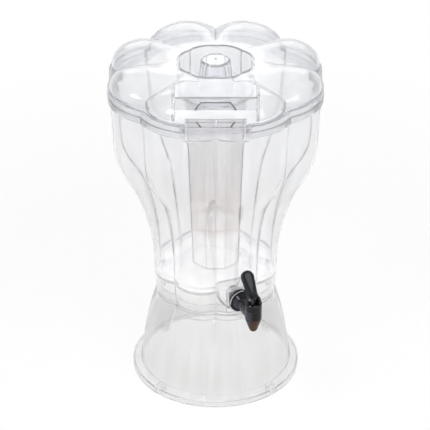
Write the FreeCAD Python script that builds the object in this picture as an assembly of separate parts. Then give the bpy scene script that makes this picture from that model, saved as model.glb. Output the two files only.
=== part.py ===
"""Fluted clear drink dispenser: a bowl on a flared stand, a lid with a hanging ice core, a lever faucet.

Millimetres, +Z up. The origin is on the table under the centre line, and the front faces -Y.
Azimuths are degrees round the centre line: 0 is the front (-Y) and 90 is the right (+X).
"""
import FreeCAD, Part
import math
import os

from FreeCAD import Vector

# ---- Flutes: the clear mouldings are eight lobes that meet at creases ----
FLUTES = 8
PITCH = 360.0 / FLUTES
HALF = PITCH / 2
FAUCET_AZIMUTH = HALF  # middle of the lobe to the right of the front crease

# ---- Walls and fits ----
WALL = 3.0  # stand, bowl and lid
CORE_WALL = 2.5
PLUG_WALL = 2.4  # ring under the lid that drops into the bowl
STACK_FIT = 0.6  # loose fit of one clear moulding inside another
THREAD_FIT = 0.1
SLIDE_FIT = 0.3

# ---- Stand ----
STAND_RISE = 134.5  # table to the shoulder that carries the bowl
NECK_RISE = 13.0  # fluted neck below the shoulder
NECK_RIDGE = 85.2
NECK_FLUTE = 6.6  # how far the creases lie inside the ridges, here and below
FLARE_RISE = 26.0  # neck down to the flare, where the lobes fade out
FLARE_RIDGE = 92.8
FLARE_FLUTE = 2.0
SKIRT_RISE = 33.0  # flare down to the middle of the round skirt
SKIRT_R = 99.2
SKIRT_FOOT_R = 106.8
FLANGE_R = 117.8
FLANGE_SLOPE = 5.0  # height that the flange falls from the skirt to its lip
LIP_RISE = 9.0
COLLAR_RISE = 10.0  # collar inside the bowl's skirt
COLLAR_WALL = 2.6
SHOULDER_DEPTH = 6.0  # thickened ring under the collar
FOOT_COUNT = 4
FOOT_WIDTH = 12.0
FOOT_STANDOUT = 0.8  # pads below the lip of the flange

# ---- Bowl: stations from the shoulder of the stand upwards ----
JOINT_RIDGE = 85.0
JOINT_FLUTE = 7.0
HEEL_RISE = 43.0
HEEL_RIDGE = 88.3
HEEL_FLUTE = 7.7
WAIST_RISE = 44.0
WAIST_RIDGE = 91.4
WAIST_FLUTE = 8.6
FLANK_RISE = 42.0
FLANK_RIDGE = 101.4
FLANK_FLUTE = 12.8
CUP_RISE = 40.0
CUP_RIDGE = 116.2
CUP_FLUTE = 14.6
SHOULDER_RISE = 39.0
SHOULDER_RIDGE = 136.6
SHOULDER_FLUTE = 11.0
BARREL_RISE = 45.0
BARREL_RIDGE = 142.8
BARREL_FLUTE = 10.6
RIM_RISE = 58.4
RIM_RIDGE = 147.0
RIM_FLUTE = 9.0
BEAD_RISE = 8.6  # band round the rim
BEAD_STANDOUT = 0.9
SKIRT_DROP = 31.0  # shoulder of the stand to the floor of the bowl
FLOOR_STEP = 5.0  # step round the floor
FLOOR_STEP_RISE = 7.0

# ---- Sump in the floor and pad on the wall, behind the faucet ----
SUMP_R = 28.0
SUMP_BACK = 58.0  # from the centre line to the sump's round end
SUMP_END = 10.0
SUMP_END_SHRINK = 9.0
PAD_FACE = 85.6  # from the centre line to the flat pad
PAD_WALL = 4.2
PAD_MARGIN = 2.0  # pad round the faucet's flange

# ---- Faucet ----
SHANK_DROP = 10.0  # floor of the bowl down to the shank's axis
SHANK_R = 8.0
SHANK_TAIL = 25.0  # shank behind the pad's face
BORE_R = 4.4
WASHER_THICK = 2.0
WASHER_R = 14.0
FLANGE_DISC_R = 16.5
FLANGE_DISC_THICK = 4.6
FLANGE_HUB_R = 12.4
FLANGE_HUB_LENGTH = 6.0
ARM_R = 9.2
SPOUT_REACH = 47.4  # from the pad's face to the spout's axis
BARREL_R = 11.5
BARREL_TOP = 12.0  # above the shank's axis
BARREL_FOOT = 2.0  # below the shank's axis, where the spout begins to taper
SPOUT_DROP = 22.0  # shank's axis down to the tip
SPOUT_SHOULDER_R = 9.8
SPOUT_SHOULDER_DROP = 8.0
TIP_R = 5.4
TIP_ROUND = 1.6
OUTLET_R = 3.9
CHAMBER_R = 7.6
SEAT_DROP = 5.2  # shank's axis down to the valve seat
NECK_R = 9.6
NECK_LENGTH = 6.0
BONNET_CAP = 5.0
BONNET_EDGE = 1.2
NUT_R = 13.0
NUT_THICK = 7.0
NUT_SIDES = 6

# ---- Valve and lever ----
LEVER_TRAVEL = 50.0  # degrees from shut to fully open
STEM_LIFT = 4.0
STEM_R = 2.5
STEM_EYE_R = 3.5
STEM_EYE_THICK = 5.0
STEM_COLLAR_R = 5.9
STEM_COLLAR_THICK = 1.5
CUP_R = 6.7
CUP_LENGTH = 9.6
CUP_SOCKET = 7.0
CUP_NOSE_LENGTH = 2.5
CUP_NOSE_SHRINK = 1.4
SPRING_WIRE = 0.8
SPRING_COILS = 5.0
SPRING_R = 4.6  # of the coil's centre line
PIN_R = 1.5
PIN_FIT = 0.1
CAM_R = 5.0
CAM_CLEARANCE = 0.3
CHEEK_THICK = 2.8
CHEEK_FIT = 0.25
LEVER_LEAN = 45.0  # degrees back from upright when shut
LEVER_LENGTH = 39.5
LEVER_ROOT_WIDTH = 13.2
LEVER_TOP_WIDTH = 17.8
LEVER_THICK = 4.6
LEVER_DISH = 1.2
LEVER_EDGE = 0.8
LEVER_WEB_THICK = 6.0
LEVER_WEB_LENGTH = 13.0

# ---- Lid: a band on the bowl's rim and a dome of eight petals ----
BAND_RISE = 8.6
LID_STANDOUT = 0.4  # of the lid's band past the bowl's rim
PLUG_DROP = 11.0
FOOT_INSET = 2.4  # petals inside the bowl's rim, at their ridges
FOOT_FLUTE = 17.0
SIDE_RISE = 7.0  # foot up to where the petals are widest
SIDE_INSET = 0.8
SIDE_FLUTE = 18.2
CHEEK_RISE = 9.5
CHEEK_INSET = 6.0
CHEEK_FLUTE = 14.6
BROW_RISE = 8.5
BROW_INSET = 18.0
BROW_FLUTE = 8.0
CROWN_RISE = 5.0
CROWN_INSET = 36.0
CROWN_FLUTE = 2.0
VALE_DROP = 2.0  # crown down to the middle of a petal's back
VALE_R = 82.0
HUB_DROP = 4.0  # from there down to the rim of the well
HUB_RIDGE = 50.0
HUB_FLUTE = 2.8
PANEL_RISE = 0.5  # rim of the well up to the flat panel in front of it
CHEEK_CREASE_DROP = 5.4  # creases below the ridges, at each station
BROW_CREASE_DROP = 11.4
CROWN_CREASE_DROP = 14.5
VALE_CREASE_DROP = 8.6
CHEEK_LEAN = 35.0  # how far the wall's normal points upwards, degrees
BROW_LEAN = 62.0
CROWN_LEAN = 86.0
WELL_DEPTH = 40.0
KNOB_FOOT_RIDGE = 25.4
KNOB_TOP_RIDGE = 20.6
KNOB_FLUTE = 1.5
KNOB_BEVEL = 3.0
KNOB_STANDOUT = 2.6  # above the rim of the well
DIMPLE_R = 2.4
DIMPLE_DEPTH = 0.9

# ---- Finger notch at the front of the lid ----
NOTCH_HALF_WIDTH = 52.5
NOTCH_BACK = 105.0  # centre line to the set-back face
LEDGE_RISE = 14.0  # seam up to the ledge
FACE_FRONT = 125.4  # centre line to the upright front face
FRONT_HALF_WIDTH = 39.0
RECESS_DROP = 11.5  # seam down to the foot of the recess in the bowl
TAB_TOP_HALF = 14.5
TAB_FOOT_HALF = 22.0
TAB_RISE = 11.0
TAB_DEPTH = 5.0

# ---- Ice core ----
CORE_RISE_FROM_FLOOR = 7.5
CORE_NECK_LENGTH = 20.0
CORE_SHOULDER = 10.0
CORE_TOP_FLAT = 40.0  # centre line to the middle of a facet, under the neck
CORE_FOOT_FLAT = 32.5
CORE_EDGE = 2.2  # how far the edges stand out past the middles of the facets
CORE_BEVEL = 2.0
LID_COLLAR_R = 36.0
LID_COLLAR_WALL = 2.6
LID_COLLAR_LENGTH = 14.0
LUG_COUNT = 3
LUG_ARC = 40.0
LUG_THICK = 3.0
LUG_STANDOUT = 2.6
NECK_GAP = 0.4  # neck of the core to the floor of the well

# ---- Heights above the table ----
JOINT_Z = STAND_RISE
FLOOR_Z = JOINT_Z + SKIRT_DROP
SHANK_Z = FLOOR_Z - SHANK_DROP
HEEL_Z = JOINT_Z + HEEL_RISE
WAIST_Z = HEEL_Z + WAIST_RISE
FLANK_Z = WAIST_Z + FLANK_RISE
CUP_Z = FLANK_Z + CUP_RISE
SHOULDER_Z = CUP_Z + SHOULDER_RISE
BARREL_Z = SHOULDER_Z + BARREL_RISE
SEAM_Z = BARREL_Z + RIM_RISE
BAND_Z = SEAM_Z + BAND_RISE
SIDE_Z = BAND_Z + SIDE_RISE
CHEEK_Z = SIDE_Z + CHEEK_RISE
BROW_Z = CHEEK_Z + BROW_RISE
CROWN_Z = BROW_Z + CROWN_RISE
VALE_Z = CROWN_Z - VALE_DROP
HUB_Z = VALE_Z - HUB_DROP
PANEL_Z = HUB_Z + PANEL_RISE
WELL_Z = HUB_Z - WELL_DEPTH
LEDGE_Z = SEAM_Z + LEDGE_RISE
SEAT_Z = SHANK_Z - SEAT_DROP
NECK_FOOT_Z = SHANK_Z + BARREL_TOP
NECK_TOP_Z = NECK_FOOT_Z + NECK_LENGTH
BONNET_Z = NECK_TOP_Z + BONNET_CAP
PIN_Z = BONNET_Z + CAM_R + CAM_CLEARANCE
SPOUT_X = PAD_FACE + SPOUT_REACH
COLLAR_Z = SEAT_Z + CUP_LENGTH + STEM_COLLAR_THICK
LUG_Z = WELL_Z - WALL - LID_COLLAR_LENGTH
BEYOND = 40.0  # how far a cutting tool reaches past what it cuts
SMOOTH_STEPS = 28  # stations along the bowl's smooth wall


def at(azimuth, radius, z):
    """The point at an azimuth, a radius and a height."""
    turn = math.radians(azimuth)
    return Vector(radius * math.sin(turn), -radius * math.cos(turn), z)


def lobe_arc(ridge, flute):
    """Distance of a lobe's arc centre from the centre line, and the arc's radius."""
    cusp = ridge - flute
    centre = (ridge**2 - cusp**2) / (2 * (ridge - cusp * math.cos(math.radians(HALF))))
    return centre, ridge - centre


def lobe_radius(ridge, flute, offset, inset=0.0):
    """Distance from the centre line to the lobe, offset degrees from its ridge."""
    centre, radius = lobe_arc(ridge, flute)
    turn = math.radians(offset)
    return centre * math.cos(turn) + math.sqrt((radius - inset) ** 2 - (centre * math.sin(turn)) ** 2)


def lobed_wire(ridge, flute, z, inset=0.0, first_crease=0.0, crease_drop=0.0):
    """An outline of eight arcs, moved inwards by inset, whose creases may lie lower than its ridges."""
    crease_r = lobe_radius(ridge, flute, HALF, inset)
    crease_z = z - crease_drop
    edges = []
    for lobe in range(FLUTES):
        start = first_crease + lobe * PITCH
        arc = Part.Arc(
            at(start, crease_r, crease_z),
            at(start + HALF, ridge - inset, z),
            at(start + PITCH, crease_r, crease_z),
        )
        edges.append(arc.toShape())
    return Part.Wire(edges)


def loft(stations, inset=0.0, first_crease=0.0, ruled=False):
    """A solid through lobed outlines, each given as height, ridge radius and depth of its flutes."""
    wires = [lobed_wire(ridge, flute, z, inset, first_crease) for z, ridge, flute in stations]
    return Part.makeLoft(wires, True, ruled)


def smooth_stations(stations):
    """The given stations with more between them, along one smooth curve through them all."""
    curve = Part.BSplineCurve()
    curve.interpolate([Vector(ridge, flute, z) for z, ridge, flute in stations])
    start = curve.FirstParameter
    span = curve.LastParameter - start
    points = [curve.value(start + span * step / SMOOTH_STEPS) for step in range(SMOOTH_STEPS + 1)]
    return [(point.z, point.x, point.y) for point in points]


def lobed_prism(low, high, ridge, flute, inset=0.0):
    """A straight lobed solid between two heights."""
    face = Part.Face(lobed_wire(ridge, flute, low, inset))
    return face.extrude(Vector(0, 0, high - low))


def turned(points, axis_start=Vector(0, 0, 0), axis=Vector(0, 0, 1)):
    """A solid of revolution from a closed outline of points."""
    face = Part.Face(Part.makePolygon(points + points[:1]))
    return face.revolve(axis_start, axis, 360)


def turned_upright(profile):
    """Revolve radius and height pairs round the centre line."""
    return turned([Vector(radius, 0, z) for radius, z in profile])


def block(low, high):
    """A box between two opposite corners."""
    size = high - low
    return Part.makeBox(size.x, size.y, size.z, low)


def at_faucet(shape):
    """Turn a shape that was drawn with +X as outwards to the faucet's azimuth."""
    placed = shape.copy()
    placed.rotate(Vector(0, 0, 0), Vector(0, 0, 1), FAUCET_AZIMUTH - 90)
    return placed


def along_shank(start, end, radius, end_radius=None):
    """A cylinder or cone along the shank's axis, between two distances from the centre line."""
    base = Vector(start, 0, SHANK_Z)
    if end_radius is None:
        return Part.makeCylinder(radius, end - start, base, Vector(1, 0, 0))
    return Part.makeCone(radius, end_radius, end - start, base, Vector(1, 0, 0))


def at_spout(profile):
    """Revolve radius and height pairs round the spout's axis."""
    shape = turned_upright(profile)
    shape.translate(Vector(SPOUT_X, 0, 0))
    return shape


def stand_stations():
    """Outline of the stand from its shoulder down to the foot of its skirt."""
    neck_z = JOINT_Z - NECK_RISE
    flare_z = neck_z - FLARE_RISE
    skirt_z = flare_z - SKIRT_RISE
    foot_z = LIP_RISE + FLANGE_SLOPE
    neck = [
        (JOINT_Z, JOINT_RIDGE, JOINT_FLUTE),
        (neck_z, NECK_RIDGE, NECK_FLUTE),
    ]
    skirt = [
        (neck_z, NECK_RIDGE, NECK_FLUTE),
        (flare_z, FLARE_RIDGE, FLARE_FLUTE),
        (skirt_z, SKIRT_R, 0.0),
        (foot_z, SKIRT_FOOT_R, 0.0),
    ]
    return neck, skirt


def stand_body(inset):
    """The stand's solid form above its flange, moved inwards by inset."""
    neck, skirt = stand_stations()
    return loft(neck, inset).fuse(loft(skirt, inset))


def sump(radius, front, back):
    """The round-bottomed pocket below the bowl's floor, drawn with +X as outwards."""
    base = Vector(back, 0, FLOOR_Z)
    body = Part.makeCylinder(radius, front - back, base, Vector(1, 0, 0))
    tip = Vector(back - SUMP_END, 0, FLOOR_Z)
    end = Part.makeCone(radius - SUMP_END_SHRINK, radius, SUMP_END, tip, Vector(1, 0, 0))
    return body.fuse(end)


def make_stand():
    """One shell: round flange, flared skirt, fluted neck and the collar that centres the bowl."""
    foot_z = LIP_RISE + FLANGE_SLOPE
    flange = turned_upright([
        (SKIRT_FOOT_R - WALL, foot_z),
        (SKIRT_FOOT_R, foot_z),
        (FLANGE_R - WALL, LIP_RISE + FLANGE_SLOPE / 4),
        (FLANGE_R, LIP_RISE),
        (FLANGE_R, FOOT_STANDOUT),
        (FLANGE_R - WALL, FOOT_STANDOUT),
        (FLANGE_R - WALL, LIP_RISE - WALL / 2),
        (SKIRT_FOOT_R - WALL, foot_z - WALL),
    ])
    skirt = stand_body(0.0)
    collar_inset = WALL + STACK_FIT
    collar = lobed_prism(
        JOINT_Z - SHOULDER_DEPTH, JOINT_Z + COLLAR_RISE, JOINT_RIDGE, JOINT_FLUTE, collar_inset
    )
    ceiling_z = JOINT_Z - SHOULDER_DEPTH
    hollow = stand_body(WALL).common(block(
        Vector(-FLANGE_R, -FLANGE_R, 0), Vector(FLANGE_R, FLANGE_R, ceiling_z)
    ))
    opening = lobed_prism(
        ceiling_z, JOINT_Z + COLLAR_RISE, JOINT_RIDGE, JOINT_FLUTE, collar_inset + COLLAR_WALL
    )
    notch = at_faucet(sump(SUMP_R + STACK_FIT, FLANGE_R, SUMP_BACK))
    above_joint = block(Vector(-FLANGE_R, -FLANGE_R, JOINT_Z), Vector(FLANGE_R, FLANGE_R, SEAM_Z))
    collar = collar.cut(notch.common(above_joint))
    shell = skirt.fuse(collar).cut(hollow).cut(opening)
    return shell.fuse(flange).removeSplitter()


def make_stand_feet():
    """Soft pads in the channel under the flange, one in four of the creases."""
    foot_z = LIP_RISE + FLANGE_SLOPE
    inner = SKIRT_FOOT_R - WALL
    outer = FLANGE_R - WALL
    channel = turned_upright([
        (inner, 0),
        (outer, 0),
        (outer, LIP_RISE - WALL / 2),
        (inner, foot_z - WALL),
    ])
    pads = []
    for number in range(FOOT_COUNT):
        cut = block(Vector(inner, -FOOT_WIDTH / 2, 0), Vector(FLANGE_R, FOOT_WIDTH / 2, foot_z))
        cut.rotate(Vector(0, 0, 0), Vector(0, 0, 1), 90.0 * number + PITCH)
        pads.append(channel.common(cut))
    return Part.makeCompound(pads)


def bowl_body(inset):
    """The bowl's solid form from its foot up to its rim, moved inwards by inset."""
    stations = [
        (JOINT_Z, JOINT_RIDGE, JOINT_FLUTE),
        (HEEL_Z, HEEL_RIDGE, HEEL_FLUTE),
        (WAIST_Z, WAIST_RIDGE, WAIST_FLUTE),
        (FLANK_Z, FLANK_RIDGE, FLANK_FLUTE),
        (CUP_Z, CUP_RIDGE, CUP_FLUTE),
        (SHOULDER_Z, SHOULDER_RIDGE, SHOULDER_FLUTE),
        (BARREL_Z, BARREL_RIDGE, BARREL_FLUTE),
        (SEAM_Z, RIM_RIDGE, RIM_FLUTE),
    ]
    return loft(smooth_stations(stations), inset)


def front_room(grow):
    """Room in front of the upright face at the front, which bowl and lid both leave free."""
    return block(
        Vector(-FRONT_HALF_WIDTH - grow, -RIM_RIDGE - BEYOND, SEAM_Z - RECESS_DROP - grow),
        Vector(FRONT_HALF_WIDTH + grow, -FACE_FRONT + grow, LEDGE_Z),
    )


def make_bowl():
    """One fluted shell with a raised floor, a sump behind the faucet and a skirt over the collar."""
    bead = lobed_prism(SEAM_Z - BEAD_RISE, SEAM_Z, RIM_RIDGE, RIM_FLUTE, -BEAD_STANDOUT)
    outside = bowl_body(0.0).fuse(bead).cut(front_room(0.0))
    inside = bowl_body(WALL).cut(front_room(WALL))
    reach = RIM_RIDGE + BEYOND
    step_z = FLOOR_Z + FLOOR_STEP_RISE
    below = block(Vector(-reach, -reach, JOINT_Z - WALL), Vector(reach, reach, FLOOR_Z - WALL))
    above = block(Vector(-reach, -reach, step_z), Vector(reach, reach, SEAM_Z + WALL))
    skirt_room = inside.common(below)
    cavity = inside.common(above)
    well = lobed_prism(FLOOR_Z, step_z, HEEL_RIDGE, HEEL_FLUTE, WALL + FLOOR_STEP)
    sump_wall = at_faucet(sump(SUMP_R, PAD_FACE, SUMP_BACK)).common(outside).common(
        block(Vector(-reach, -reach, JOINT_Z), Vector(reach, reach, FLOOR_Z))
    )
    pad_reach = FLANGE_DISC_R + PAD_MARGIN
    pad_low = SHANK_Z - pad_reach
    pad_high = SHANK_Z + pad_reach
    pad = at_faucet(block(
        Vector(PAD_FACE - PAD_WALL, -pad_reach, pad_low), Vector(PAD_FACE, pad_reach, pad_high)
    ))
    pad_front = at_faucet(block(
        Vector(PAD_FACE, -pad_reach, pad_low), Vector(PAD_FACE + BEYOND, pad_reach, pad_high)
    ))
    sump_room = at_faucet(sump(SUMP_R - WALL, PAD_FACE - PAD_WALL, SUMP_BACK)).common(inside).common(
        block(Vector(-reach, -reach, JOINT_Z), Vector(reach, reach, FLOOR_Z + WALL))
    )
    shank_hole = at_faucet(along_shank(SUMP_BACK, PAD_FACE + BEYOND, SHANK_R + SLIDE_FIT))
    washer_room = at_faucet(along_shank(SUMP_BACK, PAD_FACE - PAD_WALL, WASHER_R + STACK_FIT))
    shell = outside.cut(cavity).cut(skirt_room)
    shell = shell.fuse(sump_wall).fuse(pad).cut(well).cut(sump_room)
    return shell.cut([shank_hole, washer_room, pad_front]).removeSplitter()


def make_faucet_body():
    """Shank, flange, arm and upright barrel that narrows to the spout, bored through as one moulding."""
    face = PAD_FACE + WASHER_THICK
    hub_end = face + FLANGE_DISC_THICK + FLANGE_HUB_LENGTH
    disc = along_shank(face, face + FLANGE_DISC_THICK, FLANGE_DISC_R)
    disc = disc.makeFillet(LEVER_EDGE, [edge for edge in disc.Edges if len(edge.Vertexes) == 1])
    hub = along_shank(face + FLANGE_DISC_THICK, hub_end, FLANGE_HUB_R, ARM_R)
    arm = along_shank(hub_end, SPOUT_X, ARM_R)
    shank = along_shank(PAD_FACE - SHANK_TAIL, face, SHANK_R)
    tip_z = SHANK_Z - SPOUT_DROP
    barrel = at_spout([
        (0, tip_z),
        (TIP_R - TIP_ROUND, tip_z),
        (TIP_R, tip_z + TIP_ROUND),
        (SPOUT_SHOULDER_R, SHANK_Z - SPOUT_SHOULDER_DROP),
        (BARREL_R, SHANK_Z - BARREL_FOOT),
        (BARREL_R, NECK_FOOT_Z),
        (NECK_R, NECK_FOOT_Z),
        (NECK_R, NECK_TOP_Z),
        (0, NECK_TOP_Z),
    ])
    chamber = at_spout([
        (0, tip_z - WALL),
        (OUTLET_R, tip_z - WALL),
        (OUTLET_R, SEAT_Z - CUP_NOSE_LENGTH),
        (CUP_R - CUP_NOSE_SHRINK, SEAT_Z),
        (CHAMBER_R, SEAT_Z),
        (CHAMBER_R, NECK_TOP_Z + WALL),
        (0, NECK_TOP_Z + WALL),
    ])
    bore = along_shank(PAD_FACE - SHANK_TAIL - WALL, SPOUT_X, BORE_R)
    solid = disc.fuse([hub, arm, shank, barrel])
    return at_faucet(solid.cut(chamber).cut(bore).removeSplitter())


def make_bonnet():
    """Cap that closes the valve chamber and guides the stem."""
    shape = at_spout([
        (NECK_R + THREAD_FIT, NECK_FOOT_Z),
        (BARREL_R, NECK_FOOT_Z),
        (BARREL_R, BONNET_Z - BONNET_EDGE),
        (BARREL_R - BONNET_EDGE, BONNET_Z),
        (STEM_R + SLIDE_FIT, BONNET_Z),
        (STEM_R + SLIDE_FIT, NECK_TOP_Z),
        (NECK_R + THREAD_FIT, NECK_TOP_Z),
    ])
    return at_faucet(shape)


def ring_on_shank(start, thick, radius):
    """A round washer on the shank."""
    ring = along_shank(start, start + thick, radius)
    return at_faucet(ring.cut(along_shank(start, start + thick, SHANK_R + THREAD_FIT)))


def make_shank_nut():
    """Hexagonal nut that clamps the faucet to the pad from inside the sump."""
    start = PAD_FACE - PAD_WALL - WASHER_THICK - NUT_THICK
    corners = []
    for corner in range(NUT_SIDES):
        turn = math.radians(corner * 360.0 / NUT_SIDES)
        corners.append(Vector(start, NUT_R * math.cos(turn), SHANK_Z + NUT_R * math.sin(turn)))
    prism = Part.Face(Part.makePolygon(corners + corners[:1])).extrude(Vector(NUT_THICK, 0, 0))
    return at_faucet(prism.cut(along_shank(start, start + NUT_THICK, SHANK_R + THREAD_FIT)))


def make_valve_stem():
    """Rod with a collar for the spring and a flat eye for the lever's pin."""
    rod = at_spout([
        (0, COLLAR_Z - STEM_COLLAR_THICK - CUP_SOCKET),
        (STEM_R, COLLAR_Z - STEM_COLLAR_THICK - CUP_SOCKET),
        (STEM_R, COLLAR_Z - STEM_COLLAR_THICK),
        (STEM_COLLAR_R, COLLAR_Z - STEM_COLLAR_THICK),
        (STEM_COLLAR_R, COLLAR_Z),
        (STEM_R, COLLAR_Z),
        (STEM_R, PIN_Z - STEM_EYE_R / 2),
        (0, PIN_Z - STEM_EYE_R / 2),
    ])
    eye = Part.makeCylinder(
        STEM_EYE_R, STEM_EYE_THICK, Vector(SPOUT_X, -STEM_EYE_THICK / 2, PIN_Z), Vector(0, 1, 0)
    )
    return at_faucet(rod.fuse(eye).cut(pin_rod(PIN_R)))


def pin_rod(radius):
    """A rod on the lever's axis, as long as the lever's root is wide."""
    start = Vector(SPOUT_X, -LEVER_ROOT_WIDTH / 2, PIN_Z)
    return Part.makeCylinder(radius, LEVER_ROOT_WIDTH, start, Vector(0, 1, 0))


def make_lever_pin():
    """Pin that joins the lever to the stem."""
    return at_faucet(pin_rod(PIN_R))


def make_seat_cup():
    """Soft plug on the stem's foot that closes the outlet."""
    top_z = SEAT_Z + CUP_LENGTH
    cup = at_spout([
        (0, SEAT_Z - CUP_NOSE_LENGTH),
        (OUTLET_R - SLIDE_FIT, SEAT_Z - CUP_NOSE_LENGTH),
        (CUP_R - CUP_NOSE_SHRINK - SLIDE_FIT, SEAT_Z),
        (CUP_R, SEAT_Z),
        (CUP_R, top_z),
        (STEM_R, top_z),
        (STEM_R, top_z - CUP_SOCKET),
        (0, top_z - CUP_SOCKET),
    ])
    return at_faucet(cup)


def make_closing_spring():
    """Compression spring between the stem's collar and the bonnet."""
    low_z = COLLAR_Z + SPRING_WIRE / 2
    high_z = NECK_TOP_Z - SPRING_WIRE / 2
    helix = Part.makeHelix((high_z - low_z) / SPRING_COILS, high_z - low_z, SPRING_R)
    half = SPRING_WIRE / 2
    corners = [
        Vector(SPRING_R - half, 0, 0),
        Vector(SPRING_R, 0, -half),
        Vector(SPRING_R + half, 0, 0),
        Vector(SPRING_R, 0, half),
    ]
    section = Part.makePolygon(corners + corners[:1])
    coil = Part.Wire(helix.Edges).makePipeShell([section], True, True)
    coil.translate(Vector(SPOUT_X, 0, low_z))
    return at_faucet(coil)


def make_lever():
    """Dished paddle whose forked root holds the pin and two eccentric cams."""
    half_root = LEVER_ROOT_WIDTH / 2
    half_top = LEVER_TOP_WIDTH / 2
    back = -LEVER_THICK / 2
    front = LEVER_THICK / 2
    bulge_z = LEVER_LENGTH - half_top
    sides = Part.Wire([
        Part.makeLine(Vector(0, -half_root, 0), Vector(0, half_root, 0)),
        Part.makeLine(Vector(0, half_root, 0), Vector(0, half_top, bulge_z)),
        Part.Arc(
            Vector(0, half_top, bulge_z), Vector(0, 0, LEVER_LENGTH), Vector(0, -half_top, bulge_z)
        ).toShape(),
        Part.makeLine(Vector(0, -half_top, bulge_z), Vector(0, -half_root, 0)),
    ])
    paddle = Part.Face(sides).extrude(Vector(LEVER_THICK, 0, 0))
    paddle.translate(Vector(back, 0, 0))
    paddle = paddle.makeFillet(LEVER_EDGE, paddle.Edges)
    dish_r = (half_top**2 + LEVER_DISH**2) / (2 * LEVER_DISH)
    dish = Part.makeCylinder(
        dish_r, LEVER_LENGTH, Vector(front + dish_r - LEVER_DISH, 0, LEVER_WEB_LENGTH), Vector(0, 0, 1)
    )
    paddle = paddle.cut(dish)
    web = block(
        Vector(back - LEVER_WEB_THICK + LEVER_THICK, -half_root, 0),
        Vector(front - LEVER_EDGE, half_root, LEVER_WEB_LENGTH),
    )
    axis_start = Vector(0, -half_root, 0)
    hub = Part.makeCylinder(CAM_R, LEVER_ROOT_WIDTH, axis_start, Vector(0, 1, 0))
    throw = STEM_LIFT / math.sin(math.radians(LEVER_TRAVEL))
    lean = math.radians(LEVER_LEAN)
    cam_centre = Vector(throw * math.cos(lean), -half_root, -throw * math.sin(lean))
    cam = Part.makeCylinder(CAM_R, LEVER_ROOT_WIDTH, cam_centre, Vector(0, 1, 0))
    slot_half = LEVER_ROOT_WIDTH / 2 - CHEEK_THICK
    room = STEM_EYE_R + CHEEK_FIT * 2
    slot = Part.makeCylinder(room, 2 * slot_half, Vector(0, -slot_half, 0), Vector(0, 1, 0))
    below = block(Vector(-BEYOND, -slot_half, -BEYOND), Vector(BEYOND, slot_half, 0))
    hole = Part.makeCylinder(PIN_R + PIN_FIT, LEVER_ROOT_WIDTH, axis_start, Vector(0, 1, 0))
    lever = paddle.fuse([web, hub, cam]).cut(slot).cut(below).cut(hole).removeSplitter()
    lever.rotate(Vector(0, 0, 0), Vector(0, 1, 0), -LEVER_LEAN)
    lever.translate(Vector(SPOUT_X, 0, PIN_Z))
    return at_faucet(lever)


def dome_body(inset):
    """The lid's solid dome of eight petals, moved inwards by inset."""
    stations = [
        (BAND_Z, RIM_RIDGE - FOOT_INSET, FOOT_FLUTE, 0.0, 0.0),
        (SIDE_Z, RIM_RIDGE - SIDE_INSET, SIDE_FLUTE, 0.0, 0.0),
        (CHEEK_Z, RIM_RIDGE - CHEEK_INSET, CHEEK_FLUTE, CHEEK_CREASE_DROP, CHEEK_LEAN),
        (BROW_Z, RIM_RIDGE - BROW_INSET, BROW_FLUTE, BROW_CREASE_DROP, BROW_LEAN),
        (CROWN_Z, RIM_RIDGE - CROWN_INSET, CROWN_FLUTE, CROWN_CREASE_DROP, CROWN_LEAN),
        (VALE_Z, VALE_R, 0.0, VALE_CREASE_DROP, 90.0),
        (HUB_Z, HUB_RIDGE, HUB_FLUTE, 0.0, 90.0),
    ]
    wires = []
    for z, ridge, flute, drop, lean in stations:
        sideways = inset * math.cos(math.radians(lean))
        down = inset * math.sin(math.radians(lean))
        wires.append(lobed_wire(ridge, flute, z - down, sideways, 0.0, drop))
    return Part.makeLoft(wires, True, False)


def upright_prism(outline, low_z, high_z):
    """A straight solid over a plan outline of x and y pairs."""
    points = [Vector(x, y, low_z) for x, y in outline]
    face = Part.Face(Part.makePolygon(points + points[:1]))
    return face.extrude(Vector(0, 0, high_z - low_z))


def crease_fill():
    """Fills the front crease between the two ridges beside it."""
    reach = NOTCH_BACK + WALL
    half = reach * math.tan(math.radians(HALF))
    return upright_prism([(0, 0), (-half, -reach), (half, -reach)], SIDE_Z, CROWN_Z)


def panel_room(grow):
    """Room above the flat panel, as far as the creases on either side of the front petals."""
    half = NOTCH_HALF_WIDTH + grow
    reach = RIM_RIDGE + BEYOND
    outline = [(0, 0), (-half, -half), (-half, -reach), (half, -reach), (half, -half)]
    return upright_prism(outline, PANEL_Z - grow, CROWN_Z + BEYOND)


def notch_room(grow):
    """Room taken out of the dome above the ledge."""
    return block(
        Vector(-NOTCH_HALF_WIDTH - grow, -RIM_RIDGE - BEYOND, LEDGE_Z - grow),
        Vector(NOTCH_HALF_WIDTH + grow, -NOTCH_BACK + grow, CROWN_Z + BEYOND),
    )


def thumb_recess(grow):
    """Trapezoid pocket in the set-back face above the ledge."""
    foot_half = TAB_FOOT_HALF + grow
    top_half = TAB_TOP_HALF + grow
    points = [
        Vector(-foot_half, -NOTCH_BACK - grow, LEDGE_Z - grow),
        Vector(foot_half, -NOTCH_BACK - grow, LEDGE_Z - grow),
        Vector(top_half, -NOTCH_BACK - grow, LEDGE_Z + TAB_RISE + grow),
        Vector(-top_half, -NOTCH_BACK - grow, LEDGE_Z + TAB_RISE + grow),
    ]
    face = Part.Face(Part.makePolygon(points + points[:1]))
    return face.extrude(Vector(0, TAB_DEPTH + 2 * grow, 0))


def front_dome(inset):
    """The dome with its flat front panel, finger notch and thumb recess, moved inwards by inset."""
    rooms = [notch_room(inset), thumb_recess(inset)]
    return dome_body(inset).fuse(crease_fill()).cut(panel_room(inset).fuse(rooms))


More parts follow.
